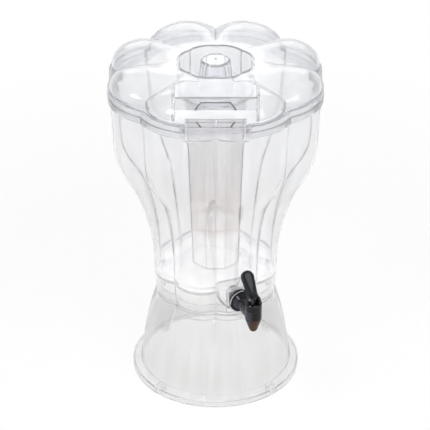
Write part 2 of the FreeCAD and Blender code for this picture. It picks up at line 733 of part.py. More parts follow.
def make_knob():
    """Hollow fluted knob that stands in the middle of the hub's well."""
    rim_z = HUB_Z + KNOB_STANDOUT
    knee_z = rim_z - KNOB_BEVEL
    low_z = WELL_Z - WALL
    foot = (low_z, KNOB_FOOT_RIDGE, KNOB_FLUTE)
    knee = (knee_z, KNOB_TOP_RIDGE, KNOB_FLUTE)
    side = loft([foot, knee], 0, 0, True)
    crown = loft([knee, (rim_z, KNOB_TOP_RIDGE - KNOB_BEVEL, KNOB_FLUTE)], 0, 0, True)
    room = loft([foot, (knee_z - WALL / 2, KNOB_TOP_RIDGE, KNOB_FLUTE)], WALL, 0, True)
    dimple = Part.makeCone(0, DIMPLE_R, DIMPLE_DEPTH, Vector(0, 0, rim_z - DIMPLE_DEPTH))
    return side.fuse(crown).cut(dimple), room


def make_core_collar():
    """Round collar under the well, with lugs that the ice core hangs on."""
    low_z = LUG_Z
    high_z = WELL_Z - WALL
    shape = turned_upright([
        (LID_COLLAR_R - LID_COLLAR_WALL, low_z),
        (LID_COLLAR_R, low_z),
        (LID_COLLAR_R, high_z),
        (LID_COLLAR_R - LID_COLLAR_WALL, high_z),
    ])
    return shape.fuse(lugs(LID_COLLAR_R - LID_COLLAR_WALL / 2, LID_COLLAR_R + LUG_STANDOUT, low_z))


def lugs(inner, outer, low_z):
    """A ring of arc-shaped lugs as high as LUG_THICK."""
    ring = []
    for number in range(LUG_COUNT):
        turn = number * 360.0 / LUG_COUNT - LUG_ARC / 2
        wedge = turned_arc(inner, outer, low_z, low_z + LUG_THICK, LUG_ARC)
        wedge.rotate(Vector(0, 0, 0), Vector(0, 0, 1), turn)
        ring.append(wedge)
    return ring[0].fuse(ring[1:])


def turned_arc(inner, outer, low_z, high_z, degrees):
    """Part of a rectangular ring."""
    points = [
        Vector(inner, 0, low_z), Vector(outer, 0, low_z), Vector(outer, 0, high_z), Vector(inner, 0, high_z)
    ]
    face = Part.Face(Part.makePolygon(points + points[:1]))
    return face.revolve(Vector(0, 0, 0), Vector(0, 0, 1), degrees)


def make_lid():
    """One moulding: petal dome, band, plug ring, hub well with its knob, ledge and core collar."""
    reach = RIM_RIDGE + BEYOND
    below_seam = block(Vector(-reach, -reach, SEAM_Z - PLUG_DROP), Vector(reach, reach, SEAM_Z))
    plug_inset = WALL + STACK_FIT
    ring_inset = plug_inset + PLUG_WALL
    band = lobed_prism(SEAM_Z, BAND_Z, RIM_RIDGE, RIM_FLUTE, -LID_STANDOUT)
    outside = front_dome(0.0).fuse(band).cut(front_room(0.0))
    plug = bowl_body(plug_inset).common(below_seam).cut(front_room(plug_inset))
    hatch = lobed_prism(BAND_Z - WALL, BAND_Z, RIM_RIDGE - FOOT_INSET, FOOT_FLUTE, WALL)
    inside = front_dome(WALL).fuse(hatch).cut(front_room(WALL))
    band_room = lobed_prism(SEAM_Z, BAND_Z - WALL, RIM_RIDGE, RIM_FLUTE, ring_inset)
    ring_room = bowl_body(ring_inset).common(below_seam).fuse(band_room)
    ring_room = ring_room.cut(front_room(ring_inset))
    well_room = lobed_prism(WELL_Z, CROWN_Z, HUB_RIDGE, HUB_FLUTE)
    well_wall = lobed_prism(WELL_Z - WALL, HUB_Z - WALL / 2, HUB_RIDGE, HUB_FLUTE, -WALL)
    knob, knob_room = make_knob()
    shell = outside.fuse(plug).cut(inside).cut(ring_room)
    shell = shell.fuse(well_wall).cut(well_room)
    shell = shell.fuse([knob, make_core_collar()]).cut(knob_room)
    return shell.removeSplitter()


def make_ice_core():
    """Closed eight-sided tube that hangs from the lid's collar by a twist."""
    top_z = WELL_Z - WALL - NECK_GAP
    neck_z = top_z - CORE_NECK_LENGTH
    low_z = FLOOR_Z + CORE_RISE_FROM_FLOOR
    neck_r = LID_COLLAR_R + LUG_STANDOUT + STACK_FIT + CORE_WALL
    bevel_z = low_z + CORE_BEVEL
    top = [
        (neck_z - CORE_SHOULDER, CORE_TOP_FLAT, -CORE_EDGE),
        (neck_z, neck_r, 0.0),
    ]
    tube = [
        (bevel_z, CORE_FOOT_FLAT, -CORE_EDGE),
        (neck_z - CORE_SHOULDER, CORE_TOP_FLAT, -CORE_EDGE),
    ]
    foot = [
        (low_z, CORE_FOOT_FLAT - CORE_BEVEL, -CORE_EDGE),
        (bevel_z, CORE_FOOT_FLAT, -CORE_EDGE),
    ]
    room_tube = [(low_z + CORE_WALL, CORE_FOOT_FLAT, -CORE_EDGE)] + tube[1:]
    outside = [loft(stations, 0.0, HALF, True) for stations in (top, tube, foot)]
    inside = [loft(stations, CORE_WALL, HALF, True) for stations in (top, room_tube)]
    neck = Part.makeCylinder(neck_r, top_z - neck_z, Vector(0, 0, neck_z))
    neck_room = Part.makeCylinder(neck_r - CORE_WALL, top_z - neck_z, Vector(0, 0, neck_z))
    shell = neck.fuse(outside)
    room = neck_room.fuse(inside)
    hooks = lugs(LID_COLLAR_R + STACK_FIT, neck_r - CORE_WALL / 2, LUG_Z + LUG_THICK)
    return shell.cut(room).fuse(hooks).removeSplitter()


def main():
    """Write one STEP file for each piece."""
    os.makedirs("parts", exist_ok=True)
    inner_face = PAD_FACE - PAD_WALL
    pieces = {
        "stand": make_stand(),
        "stand_feet": make_stand_feet(),
        "bowl": make_bowl(),
        "faucet_body": make_faucet_body(),
        "faucet_bonnet": make_bonnet(),
        "outer_washer": ring_on_shank(PAD_FACE, WASHER_THICK, WASHER_R),
        "inner_washer": ring_on_shank(inner_face - WASHER_THICK, WASHER_THICK, WASHER_R),
        "shank_nut": make_shank_nut(),
        "closing_spring": make_closing_spring(),
        "valve_stem": make_valve_stem(),
        "seat_cup": make_seat_cup(),
        "lever_pin": make_lever_pin(),
        "faucet_lever": make_lever(),
        "lid": make_lid(),
        "ice_core": make_ice_core(),
    }
    for name, shape in pieces.items():
        shape.exportStep("parts/" + name + ".step")
        print(name, len(shape.Solids), round(shape.Volume, 1), shape.isValid())


main()
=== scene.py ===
# %% [markdown]
# # A clear fluted drink dispenser
#
# A bowl of clear plastic stands on a flared stand, under a lid with eight petals. A core for ice hangs from
# the lid into the drink, and a black lever faucet sits low on the front. The construction is already there,
# to the tenth of a millimetre, and nothing below moves it or changes its shape. Only the faucet's hidden
# spring gets a stand-in. The finishes come first, then a few small pieces, and at the end the floor, the
# light and the camera.

# %% Load the frame
import math

import bmesh
import bpy
from mathutils import Matrix, Vector


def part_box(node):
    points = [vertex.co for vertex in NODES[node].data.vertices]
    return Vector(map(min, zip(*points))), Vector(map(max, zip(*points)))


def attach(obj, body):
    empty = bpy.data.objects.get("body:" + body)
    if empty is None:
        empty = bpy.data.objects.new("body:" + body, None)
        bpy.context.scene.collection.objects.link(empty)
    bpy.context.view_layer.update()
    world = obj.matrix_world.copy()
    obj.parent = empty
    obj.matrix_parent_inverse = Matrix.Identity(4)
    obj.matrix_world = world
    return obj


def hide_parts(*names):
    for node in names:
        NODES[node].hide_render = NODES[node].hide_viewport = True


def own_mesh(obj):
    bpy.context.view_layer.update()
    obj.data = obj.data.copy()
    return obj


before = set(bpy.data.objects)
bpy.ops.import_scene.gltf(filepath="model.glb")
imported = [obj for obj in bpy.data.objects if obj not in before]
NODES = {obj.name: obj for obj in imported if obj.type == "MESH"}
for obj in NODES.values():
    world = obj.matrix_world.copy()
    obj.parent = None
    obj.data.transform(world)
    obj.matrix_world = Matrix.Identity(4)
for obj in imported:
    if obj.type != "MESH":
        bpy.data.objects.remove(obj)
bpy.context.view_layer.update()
print("nodes:", ", ".join(sorted(NODES)))

# %% [markdown]
# ## Helpers for finishes
#
# A finish is a small tree of nodes. It could be clicked together in the shader editor, but a few helpers
# write the same tree in a line or two, and every finish below then differs only in its numbers. All
# patterns are placed by Object coordinates, so they stay on the plastic when a piece moves.

# %% Helper: a new finish
def new_finish(name):
    """A material with an empty node tree, and its output node."""
    material = bpy.data.materials.new(name)
    material.use_nodes = True
    tree = material.node_tree
    tree.nodes.clear()
    return material, tree, tree.nodes.new("ShaderNodeOutputMaterial")


print("finishes start from an empty tree")


# %% Helper: nodes and their inputs
def add(tree, kind, **values):
    """A node whose inputs are set by name."""
    node = tree.nodes.new(kind)
    for key, value in values.items():
        node.inputs[key.replace("_", " ")].default_value = value
    return node


def feed(tree, socket, value):
    """Link another node's output to an input, or set the input to a plain value."""
    if isinstance(value, bpy.types.NodeSocket):
        tree.links.new(value, socket)
    else:
        socket.default_value = value


def axes(tree, vector):
    """The X, Y and Z of a vector."""
    split = tree.nodes.new("ShaderNodeSeparateXYZ")
    tree.links.new(vector, split.inputs[0])
    return split.outputs


print("inputs take a number, a vector or a link")


# %% Helper: small sums
def arithmetic(tree, operation, first, second=0.0):
    """A Math node between two outputs or numbers."""
    node = tree.nodes.new("ShaderNodeMath")
    node.operation = operation
    feed(tree, node.inputs[0], first)
    feed(tree, node.inputs[1], second)
    return node.outputs[0]


def vector_sum(tree, operation, first, second=None):
    """A Vector Math node on one vector, or between two."""
    node = tree.nodes.new("ShaderNodeVectorMath")
    node.operation = operation
    feed(tree, node.inputs[0], first)
    if second is not None:
        feed(tree, node.inputs[1], second)
    return node


def remap(tree, value, start, end, low=0.0, high=1.0):
    """The value from start to end, stretched to low to high and held there."""
    span = add(tree, "ShaderNodeMapRange", From_Min=start, From_Max=end, To_Min=low, To_Max=high)
    tree.links.new(value, span.inputs["Value"])
    return span.outputs["Result"]


def along(tree, vector, direction):
    """How far a vector reaches along a direction."""
    return vector_sum(tree, "DOT_PRODUCT", vector, direction).outputs["Value"]


def scaled(tree, colour, share):
    """A colour made lighter or darker by a share."""
    node = vector_sum(tree, "SCALE", colour)
    tree.links.new(share, node.inputs["Scale"])
    return node.outputs[0]


print("sums work on numbers, vectors and colours")

# %% [markdown]
# ## Clear plastic: tone by height
#
# Styrene that is 3 mm thick looks pale grey where it stands against white, and lighter where thick rims and
# corners gather light. A volume could tint it by its thickness, but that is slow and noisy. A colour ramp
# along the height does the same job: each stop has a height, a colour, and in its alpha how clear the
# plastic is there.

# %% Tone by height
def soft_ramp(tree, value, stops):
    """A colour ramp that eases between (position, colour) stops."""
    node = tree.nodes.new("ShaderNodeValToRGB")
    node.color_ramp.interpolation = "EASE"
    elements = node.color_ramp.elements
    while len(elements) < len(stops):
        elements.new(0.5)  # anywhere: the loop below places it
    for element, (position, colour) in zip(elements, stops):
        element.position = position
        element.color = colour
    tree.links.new(value, node.inputs["Fac"])
    return node


def height_tones(tree, tones):
    """Colour and clearness by height, from (height, colour, clearness) stops."""
    place = tree.nodes.new("ShaderNodeTexCoord")
    low, high = tones[0][0], tones[-1][0]
    stops = [((height - low) / (high - low), (*colour, clearness)) for height, colour, clearness in tones]
    up = remap(tree, axes(tree, place.outputs["Object"])["Z"], low, high)
    return soft_ramp(tree, up, stops)


print("tones follow the height")

# %% [markdown]
# ## Clear plastic: painted reflection streaks
#
# The walls mirror their surroundings in faint upright streaks, and these are painted into the colour as a
# painted reflection. A wave texture would look drawn with a ruler. Noise that is stretched along the height
# gives streaks of uneven width, as the real ones are.

# %% Painted reflection streaks
STREAK_GRAIN = (1.0, 1.0, 0.07)  # noise is squeezed along the height, so its spots become streaks
STREAK_SCALE = 70.0
STREAK_DETAIL = 3.0
STREAK_SPREAD = (0.3, 0.7)  # noise values that hold most of the surface
STREAK_BRIGHT = 0.4  # strength of the bright streaks, as a share of the dark ones'


def grain(tree, scale, detail, stretch=(1.0, 1.0, 1.0)):
    """Noise in object space, squeezed along the axes."""
    place = tree.nodes.new("ShaderNodeTexCoord")
    mapping = add(tree, "ShaderNodeMapping", Scale=stretch)
    noise = add(tree, "ShaderNodeTexNoise", Scale=scale, Detail=detail)
    tree.links.new(place.outputs["Object"], mapping.inputs["Vector"])
    tree.links.new(mapping.outputs["Vector"], noise.inputs["Vector"])
    return noise.outputs["Fac"]


# painted reflection: light and dark upright streaks in the colour
def painted_reflection_streaks(tree, colour, streak):
    """The same colour under faint upright streaks of painted reflection."""
    streak_noise = grain(tree, STREAK_SCALE, STREAK_DETAIL, STREAK_GRAIN)
    share = remap(tree, streak_noise, *STREAK_SPREAD, 1.0 - streak, 1.0 + streak * STREAK_BRIGHT)
    return scaled(tree, colour, share)


print("streaks of about", round(1000.0 / STREAK_SCALE), "mm")

# %% [markdown]
# ## Clear plastic: edges
#
# On clear mouldings the eye reads mostly edges: thin lavender lines along creases, where refraction darkens
# them, and a haze where an edge is turned. The lines are painted shade in the colour. The meshes have sharp
# edges. Rounding them in the mesh would change the construction, so the Bevel node rounds only the shading.
# Where its normal leaves the face's own normal there is an edge, and the difference says how sharp.

# %% Edges
CREASE_ROUND = 0.0012  # how softly the mouldings' edges are turned, in metres
BEVEL_SAMPLES = 8
EDGE_HAZE = 0.20  # clearness that a turned edge loses
HAZE_FROM, HAZE_FULL = 0.995, 0.96  # agreement of the two normals, where the haze starts and is full
# the colour of the painted shade lines along sharp edges
SHADE_LINE_COLOUR = (0.48, 0.47, 0.58)
LINE_SHARE = 0.84  # how much of the line's colour the sharpest edge takes
LINE_FROM, LINE_FULL = 0.93, 0.80  # agreement of the two normals, where the line starts and is full


def turned_edges(tree, radius):
    """A normal that turns softly over the edges."""
    edge = add(tree, "ShaderNodeBevel", Radius=radius)
    edge.samples = BEVEL_SAMPLES
    return edge.outputs["Normal"]


def flatness_of(tree, normal):
    """How well a softened normal agrees with the face's own: 1 on even walls, less at an edge."""
    shape = tree.nodes.new("ShaderNodeNewGeometry")
    return along(tree, normal, shape.outputs["Normal"])


def blended(tree, share, first, second):
    """The first colour, turned into the second by a share."""
    node = tree.nodes.new("ShaderNodeMixRGB")
    for name, value in (("Fac", share), ("Color1", first), ("Color2", second)):
        feed(tree, node.inputs[name], value)
    return node.outputs["Color"]


def painted_edge_shade(tree, flatness, colour):
    """The colour with a painted lavender shade line along each sharp edge."""
    share = remap(tree, flatness, LINE_FROM, LINE_FULL, 0.0, LINE_SHARE)
    return blended(tree, share, colour, (*SHADE_LINE_COLOUR, 1.0))


print("edges are turned over", CREASE_ROUND * 1000, "mm")

# %% [markdown]
# ## Clear plastic: the shader
#
# The rest is one Principled shader with transmission. A thin transparent shader would be quicker, but only
# real refraction bends the lines behind it, which is what makes plastic look thick. Lamps would cast black
# shadows through it, because refraction hides them, so rays on their way to a lamp see a plain transparent
# shader instead.

# %% Light through the plastic
SHADOW_TINT = (0.93, 0.93, 0.935)  # light that a wall lets through


def blended_shader(tree, share, first, second):
    """The first shader, turned into the second by a share."""
    node = tree.nodes.new("ShaderNodeMixShader")
    for number, output in enumerate((share, first, second)):
        tree.links.new(output, node.inputs[number])
    return node.outputs["Shader"]


def lit_through(tree, body, output):
    """Show the shader, but let the light of lamps pass through it."""
    path = tree.nodes.new("ShaderNodeLightPath")
    through = add(tree, "ShaderNodeBsdfTransparent", Color=(*SHADOW_TINT, 1.0))
    shown = blended_shader(tree, path.outputs["Is Shadow Ray"], body.outputs["BSDF"], through.outputs["BSDF"])
    tree.links.new(shown, output.inputs["Surface"])


print("a wall lets", round(SHADOW_TINT[0] * 100), "percent of a lamp's light through")

# %% Clear plastic
CLEAR_IOR = 1.49  # acrylic and styrene lie near this
FAINT_STREAK = 0.05  # how far streaks darken the colour, as a share
WAVE_SCALE = 22.0
WAVE_DETAIL = 2.0
WAVE_GRAIN = (1.0, 1.0, 0.35)  # waves run up the walls, longer than they are wide
WAVE_DEPTH = 0.0006


def bumped(tree, height, strength, distance, normal):
    """A normal that follows a height, on top of another normal."""
    bump = add(tree, "ShaderNodeBump", Strength=strength, Distance=distance)
    tree.links.new(height, bump.inputs["Height"])
    tree.links.new(normal, bump.inputs["Normal"])
    return bump.outputs["Normal"]


def clear_plastic(name, tones, roughness, wave, streak=FAINT_STREAK):
    """Clear moulded plastic that tints what is behind it, with painted shade on edges and a faint waviness.
    """
    material, tree, output = new_finish(name)
    body = add(tree, "ShaderNodeBsdfPrincipled", Roughness=roughness, IOR=CLEAR_IOR)
    ramp = height_tones(tree, tones)
    normal = turned_edges(tree, CREASE_ROUND)
    flatness = flatness_of(tree, normal)
    # painted shade lines on the edges, over the painted reflection streaks
    colour = painted_edge_shade(tree, flatness, painted_reflection_streaks(tree, ramp.outputs["Color"], streak))
    tree.links.new(colour, body.inputs["Base Color"])
    haze = remap(tree, flatness, HAZE_FROM, HAZE_FULL, 0.0, EDGE_HAZE)
    clearness = arithmetic(tree, "SUBTRACT", ramp.outputs["Alpha"], haze)
    tree.links.new(clearness, body.inputs["Transmission Weight"])
    waves = grain(tree, WAVE_SCALE, WAVE_DETAIL, WAVE_GRAIN)
    tree.links.new(bumped(tree, waves, wave, WAVE_DEPTH, normal), body.inputs["Normal"])
    lit_through(tree, body, output)
    return material


print("clear plastic has a refractive index of", CLEAR_IOR)


# %% Helper: finish a node
def paint(node, material):
    """Give a node of the construction its finish."""
    mesh = NODES[node].data
    mesh.materials.clear()
    mesh.materials.append(material)
    print(node, "is finished with", material.name)


print("a node keeps its mesh when it is painted")

# %% [markdown]
# ## The stand
#
# The flared stand is a hollow skirt in faintly warm grey, darkest just above the foot where one looks
# through two walls at a slant. Four stops along its height are enough.

# %% Finish the stand
STAND_TONES = [
    (0.0, (0.80, 0.80, 0.795), 0.93),
    (0.03, (0.755, 0.755, 0.75), 0.94),
    (0.09, (0.785, 0.785, 0.78), 0.94),
    (0.165, (0.87, 0.87, 0.87), 0.94),
]
paint("stand", clear_plastic("stand_clear", STAND_TONES, roughness=0.06, wave=0.10))

# %% [markdown]
# ## The pads under the stand
#
# Soft pads keep the dispenser from sliding. They are the same clear family, but matt, so the same shader
# gets a much higher roughness.

# %% Finish the pads
PAD_TONES = [
    (0.0, (0.90, 0.90, 0.88), 0.85),
    (0.01, (0.93, 0.93, 0.92), 0.85),
]
paint("stand_feet", clear_plastic("pad_clear", PAD_TONES, roughness=0.35, wave=0.2))

# %% [markdown]
# ## The bowl
#
# The bowl's flutes catch a soft grey. Its thick floor is nearly white, because it gathers the light of the
# table, and it is a little less clear. The stops sit close together there and far apart on the even walls
# above.

# %% Finish the bowl
BOWL_TONES = [
    (0.150, (0.975, 0.97, 0.965), 0.86),
    (0.168, (0.99, 0.99, 0.99), 0.78),
    (0.185, (0.94, 0.94, 0.945), 0.89),
    (0.225, (0.896, 0.896, 0.901), 0.94),
    (0.440, (0.905, 0.908, 0.915), 0.94),
]
paint("bowl", clear_plastic("bowl_clear", BOWL_TONES, roughness=0.05, wave=0.10))

# %% [markdown]
# ## The ice core
#
# The core is a long cup that is filled with ice and hangs in the drink. Its walls show a faint rose tint in
# two bands over the lower half, and its bottom is painted bright, for the light that gathers there. Its
# streaks are twice as strong as on the bowl.

# %% Finish the ice core
# the two lowest stops paint the light that gathers in the core's bottom
CORE_TONES = [
    (0.173, (0.99, 0.985, 0.98), 0.80),
    (0.222, (0.990, 0.980, 0.972), 0.82),
    (0.236, (0.885, 0.838, 0.820), 0.94),
    (0.262, (0.900, 0.878, 0.870), 0.94),
    (0.290, (0.868, 0.830, 0.815), 0.94),
    (0.310, (0.868, 0.856, 0.852), 0.94),
    (0.420, (0.878, 0.874, 0.874), 0.94),
]
CORE_STREAK = 2.0 * FAINT_STREAK
paint("ice_core", clear_plastic("core_clear", CORE_TONES, roughness=0.06, wave=0.10, streak=CORE_STREAK))

# %% [markdown]
# ## The lid
#
# The petals of the lid are slightly frosted, and painted shade makes them darker towards the rim. The flat
# ledge in the front notch, where the fingers lie, is made hazy so that the lamps light it white, as a
# painted highlight. Cutting the ledge out as its own piece would leave a seam, so the finish finds it by its
# place: a thin band of heights, in front of the recess.

# %% The lid's painted shade at the rim
SHADE_FROM, SHADE_TO = 0.050, 0.130  # from the hub outwards, in metres
SHADE_RIM = 0.90
LEVEL = (1.0, 1.0, 0.0)  # keeps a place's X and Y, and drops its height


def rim_shade_share(tree, place):
    """A share that falls from 1 at the hub to SHADE_RIM at the rim."""
    level = vector_sum(tree, "MULTIPLY", place.outputs["Object"], LEVEL).outputs[0]
    radius = vector_sum(tree, "LENGTH", level).outputs["Value"]
    return remap(tree, radius, SHADE_FROM, SHADE_TO, 1.0, SHADE_RIM)


print("the lid is", round((1.0 - SHADE_RIM) * 100), "percent darker at its rim")

# %% The painted highlight on the lid's ledge
LEDGE_HEIGHT = 0.4595  # over the table, in metres
LEDGE_BAND = 0.0009  # how far above or below that height the ledge still counts
LEDGE_BACK = -0.1046  # the ledge lies in front of this
LEDGE_HIGHLIGHT_HAZE = 0.93  # clearness that the ledge loses


def ledge_highlight_share(tree, place):
    """1 on the ledge in the finger notch, where the painted highlight goes, 0 elsewhere."""
    split = axes(tree, place.outputs["Object"])
    off = arithmetic(tree, "ABSOLUTE", arithmetic(tree, "SUBTRACT", split["Z"], LEDGE_HEIGHT))
    level = arithmetic(tree, "LESS_THAN", off, LEDGE_BAND)
    front = arithmetic(tree, "LESS_THAN", split["Y"], LEDGE_BACK)
    return arithmetic(tree, "MULTIPLY", level, front)


print("ledge at", LEDGE_HEIGHT, "m")

# %% Finish the lid
LID_TONES = [
    (0.425, (0.905, 0.915, 0.93), 0.94),
    (0.455, (0.915, 0.925, 0.94), 0.93),
    (0.486, (0.967, 0.970, 0.977), 0.92),
]


def shader_of(material):
    """The Principled shader of a finish."""
    return next(node for node in material.node_tree.nodes if node.type == "BSDF_PRINCIPLED")


def lid_plastic(name, tones, roughness, wave):
    """Clear plastic with painted shade towards the rim and a painted highlight on the ledge."""
    material = clear_plastic(name, tones, roughness, wave)
    tree = material.node_tree
    body = shader_of(material)
    place = tree.nodes.new("ShaderNodeTexCoord")
    colour = body.inputs["Base Color"].links[0].from_socket
    # painted shade: the colour darkens towards the rim
    tree.links.new(scaled(tree, colour, rim_shade_share(tree, place)), body.inputs["Base Color"])
    # painted highlight: haze that lets the lamps light the ledge white
    haze = arithmetic(tree, "MULTIPLY", ledge_highlight_share(tree, place), LEDGE_HIGHLIGHT_HAZE)
    clearness = body.inputs["Transmission Weight"].links[0].from_socket
    tree.links.new(arithmetic(tree, "SUBTRACT", clearness, haze), body.inputs["Transmission Weight"])
    return material


paint("lid", lid_plastic("lid_clear", LID_TONES, roughness=0.10, wave=0.08))

# %% [markdown]
# ## Solid finishes
#
# Black plastic, rubber and steel share one recipe: a Principled shader with fine grain in its bump, a gloss
# that wanders a little, and edges turned softly by the Bevel node. A plain colour with one roughness looks
# like a toy. The same noise drives grain and gloss, because on a real moulding both come from the same
# mould surface.

# %% Solid finish
UNEVEN = 0.35  # how far the gloss wanders from its mean
GRAIN_SCALE = 220.0
GRAIN_DETAIL = 3.0
GRAIN_STRENGTH = 0.10
GRAIN_DEPTH = 0.0003
PLASTIC_SHINE, METAL_SHINE = 0.24, 0.5  # how strongly a surface mirrors, seen straight on
SOFT_EDGE = 0.0006  # how softly most edges are turned, in metres


def solid_finish(name, colour, roughness, metallic=0.0, shine=PLASTIC_SHINE, edge_round=SOFT_EDGE):
    """An opaque finish with fine grain, uneven gloss and softly turned edges."""
    material, tree, output = new_finish(name)
    body = add(tree, "ShaderNodeBsdfPrincipled", Metallic=metallic)
    body.inputs["Base Color"].default_value = (*colour, 1.0)
    body.inputs["Specular IOR Level"].default_value = shine
    noise = grain(tree, GRAIN_SCALE, GRAIN_DETAIL)
    low, high = roughness * (1.0 - UNEVEN), roughness * (1.0 + UNEVEN)
    tree.links.new(remap(tree, noise, 0.0, 1.0, low, high), body.inputs["Roughness"])
    normal = turned_edges(tree, edge_round)
    tree.links.new(bumped(tree, noise, GRAIN_STRENGTH, GRAIN_DEPTH, normal), body.inputs["Normal"])
    tree.links.new(body.outputs["BSDF"], output.inputs["Surface"])
    return material


print("solid finishes have grain of about", round(1000.0 / GRAIN_SCALE, 1), "mm")

# %% [markdown]
# ## The faucet's body
#
# The faucet is black. Its shoulders carry a painted reflection in hazy blue grey, in patches, and the drink
# that runs out has left the front of the spout brown. Both marks follow the shape: shoulders are where the
# surface turns sideways, and the stain lies where it faces forwards, below a height and beyond a reach. So
# both are found from the normal and the place.

# %% Where the faucet points
FAUCET_ANGLE = math.radians(22.5)
FAUCET_OUT = Vector((math.sin(FAUCET_ANGLE), -math.cos(FAUCET_ANGLE), 0.0))
FAUCET_SIDE = Vector((math.cos(FAUCET_ANGLE), math.sin(FAUCET_ANGLE), 0.0))
UP = Vector((0.0, 0.0, 1.0))
print("the faucet points along", [round(part, 3) for part in FAUCET_OUT])

# %% Painted reflection on the shoulders
# painted reflection: the hazy blue grey that the shoulders show
SHEEN_COLOUR = (0.050, 0.055, 0.068)
SHEEN_FROM, SHEEN_FULL = 0.42, 0.80  # how far the surface turns to the side
SHEEN_SCALE = 260.0  # patches of about 4 mm
SHEEN_DETAIL = 4.0
PATCH_FROM, PATCH_FULL = 0.35, 0.65  # noise values between clean and scuffed patches
PATCH_LEAST = 0.25  # the share of the painted sheen that the weaker patches keep


def shoulder_sheen(tree, place, black):
    """Black with a painted reflection in hazy grey on the shoulders, in patches."""
    aside = arithmetic(tree, "ABSOLUTE", along(tree, place.outputs["Normal"], FAUCET_SIDE))
    noise = add(tree, "ShaderNodeTexNoise", Scale=SHEEN_SCALE, Detail=SHEEN_DETAIL)
    tree.links.new(place.outputs["Object"], noise.inputs["Vector"])
    patches = remap(tree, noise.outputs["Fac"], PATCH_FROM, PATCH_FULL, PATCH_LEAST, 1.0)
    share = arithmetic(tree, "MULTIPLY", remap(tree, aside, SHEEN_FROM, SHEEN_FULL), patches)
    return blended(tree, share, (*black, 1.0), (*SHEEN_COLOUR, 1.0))


# the shoulders' painted reflection starts at this turn
print("scuffs start where the surface turns", round(math.degrees(math.asin(SHEEN_FROM))), "degrees aside")

# %% The stain on the spout
STAIN_ANGLE = math.radians(8.0)
STAIN_SIDE = (math.sin(STAIN_ANGLE), -math.cos(STAIN_ANGLE), 0.0)  # where the stained face looks
STAIN_FROM, STAIN_FULL = 0.72, 0.90  # how squarely the surface faces there
STAIN_TOP = 0.1560  # height where the stain ends, in metres
STAIN_FADE = 0.0030
STAIN_REACH = 0.122  # from the dispenser's centre line: the stain keeps to the spout
STAIN_COLOUR = (0.050, 0.017, 0.005)


def stain_share(tree, place):
    """1 on the stained front of the spout, 0 elsewhere."""
    facing = along(tree, place.outputs["Normal"], STAIN_SIDE)
    front = remap(tree, facing, STAIN_FROM, STAIN_FULL)
    low = remap(tree, axes(tree, place.outputs["Object"])["Z"], STAIN_TOP, STAIN_TOP - STAIN_FADE)
    reach = along(tree, place.outputs["Object"], FAUCET_OUT)
    far = remap(tree, reach, STAIN_REACH, STAIN_REACH + STAIN_FADE)
    return arithmetic(tree, "MULTIPLY", arithmetic(tree, "MULTIPLY", front, low), far)


print("the stain reaches up to", STAIN_TOP, "m")

# %% Finish the faucet's body
BODY_BLACK = (0.005, 0.005, 0.007)
BODY_ROUGHNESS = 0.15
BODY_EDGE = 0.0012  # twice as soft as most edges


def faucet_finish(name):
    """Black plastic with a painted reflection on the shoulders and a stained spout."""
    material = solid_finish(name, BODY_BLACK, BODY_ROUGHNESS, edge_round=BODY_EDGE)
    tree = material.node_tree
    place = tree.nodes.new("ShaderNodeTexCoord")
    # painted reflection: hazy grey on the shoulders
    black = shoulder_sheen(tree, place, BODY_BLACK)
    colour = blended(tree, stain_share(tree, place), black, (*STAIN_COLOUR, 1.0))
    tree.links.new(colour, shader_of(material).inputs["Base Color"])
    return material


paint("faucet_body", faucet_finish("black_with_painted_sheen"))

# %% [markdown]
# ## Bonnet and lever
#
# The bonnet screws into the top of the faucet, and the lever turns on a pin above it. Neither gets the
# body's painted reflection.
# The lever is the glossiest part, because thumbs polish it, and the bonnet is a touch duller than the body.
# The lever's edges are very soft, so its shading is turned over almost 2 mm.

# %% Finish bonnet and lever
BONNET_BLACK = (0.006, 0.006, 0.008)
LEVER_BLACK = (0.005, 0.006, 0.008)
LEVER_EDGE = 0.0018
paint("faucet_bonnet", solid_finish("glossy_black", BONNET_BLACK, roughness=0.18))
paint("faucet_lever", solid_finish("soft_edged_black", LEVER_BLACK, roughness=0.12, edge_round=LEVER_EDGE))

# %% [markdown]
# ## Nut and washers
#
# Inside the bowl a satin black nut pulls the faucet tight, with a rubber washer on each side of the wall.
# Rubber is just a rougher black: its grain scatters what little light it mirrors.

# %% Finish nut and washers
NUT_BLACK = (0.010, 0.010, 0.011)
RUBBER_BLACK = (0.012, 0.012, 0.012)
paint("shank_nut", solid_finish("satin_black", NUT_BLACK, roughness=0.30))
paint("outer_washer", solid_finish("washer_black", RUBBER_BLACK, roughness=0.5))
paint("inner_washer", solid_finish("washer_inner", RUBBER_BLACK, roughness=0.5))

# %% [markdown]
# ## Inside the faucet
#
# A spring presses a rubber cup on its seat, by a plastic stem that hangs from the lever's pin. They hardly
# show, but they are seen when the faucet is taken apart, so spring and pin get real metal and the cup its
# brown rubber.

# %% Finish stem, cup, spring and pin
STEM_GREY = (0.03, 0.03, 0.03)
CUP_BROWN = (0.25, 0.10, 0.05)
WIRE_STEEL = (0.62, 0.63, 0.65)
PIN_STEEL = (0.66, 0.67, 0.68)
SPRING_STEEL = solid_finish("bright_wire", WIRE_STEEL, roughness=0.3, metallic=1.0, shine=METAL_SHINE)
paint("valve_stem", solid_finish("stem_grey", STEM_GREY, roughness=0.4))
paint("seat_cup", solid_finish("brown_rubber", CUP_BROWN, roughness=0.5))
paint("closing_spring", SPRING_STEEL)
paint("lever_pin", solid_finish("ground_steel", PIN_STEEL, roughness=0.25, metallic=1.0, shine=METAL_SHINE))

# %% [markdown]
# ## Helper for new pieces
#
# Most pieces below are made with mesh operators in their own plain place, then moved once into the
# dispenser's frame. Moving the vertices rather than the object keeps the object at the origin, so patterns
# stay right.

